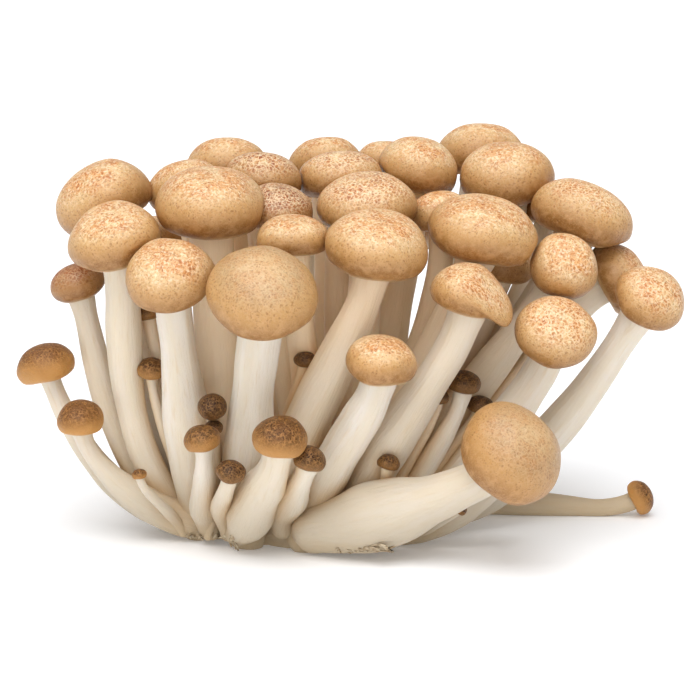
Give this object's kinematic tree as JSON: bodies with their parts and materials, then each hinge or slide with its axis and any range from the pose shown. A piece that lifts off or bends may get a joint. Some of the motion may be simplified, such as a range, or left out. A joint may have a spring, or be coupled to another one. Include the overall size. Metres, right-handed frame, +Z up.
{
  "type": "beech mushroom cluster",
  "caption": "Cluster of beech mushrooms with speckled tan caps on pale stems that fan out from one root, standing on its flat cut base.",
  "frame": {"origin": "middle of the flat cut face of the root, on the surface that the cluster stands on", "axes": "+Z up; -Y is the front, where the picture was taken from; +X to the right, towards the young mushroom that lies along the surface"},
  "size_m": [0.1316, 0.0965, 0.0766],
  "materials": {
    "stem_cream": "soft satin, fine lengthwise fibres, beige towards the foot",
    "cap_tan": "satin skin with fine brown net-like speckles and a paler margin",
    "cap_brown": "matt dark skin with fine pale cracks"
  },
  "bodies": {
    "root": {"stems": "stem_cream", "cap_01": "cap_tan", "cap_02": "cap_tan", "cap_03": "cap_tan", "cap_04": "cap_tan", "cap_05": "cap_tan", "cap_06": "cap_tan", "cap_07": "cap_tan", "cap_08": "cap_tan", "cap_09": "cap_tan", "cap_10": "cap_tan", "cap_11": "cap_tan", "cap_12": "cap_tan", "cap_13": "cap_tan", "cap_14": "cap_tan", "cap_15": "cap_tan", "cap_16": "cap_tan", "cap_17": "cap_tan", "cap_18": "cap_tan", "cap_19": "cap_tan", "cap_20": "cap_tan", "cap_21": "cap_tan", "cap_22": "cap_tan", "cap_23": "cap_tan", "cap_24": "cap_tan", "cap_25": "cap_tan", "cap_26": "cap_tan", "cap_27": "cap_tan", "cap_28": "cap_tan", "cap_29": "cap_tan", "cap_30": "cap_tan", "cap_31": "cap_tan", "cap_32": "cap_brown", "cap_33": "cap_brown", "cap_34": "cap_brown", "cap_35": "cap_brown", "cap_36": "cap_brown", "cap_37": "cap_brown", "cap_38": "cap_brown", "cap_39": "cap_brown", "cap_40": "cap_brown", "cap_41": "cap_brown", "cap_42": "cap_brown", "cap_43": "cap_brown", "cap_44": "cap_brown", "cap_45": "cap_brown", "cap_46": "cap_brown", "cap_47": "cap_brown", "cap_48": "cap_brown", "cap_49": "cap_brown", "cap_50": "cap_brown", "cap_51": "cap_tan", "cap_52": "cap_tan", "cap_53": "cap_tan", "cap_54": "cap_tan", "cap_55": "cap_tan", "cap_56": "cap_tan", "cap_57": "cap_brown"}
  },
  "joints": []
}
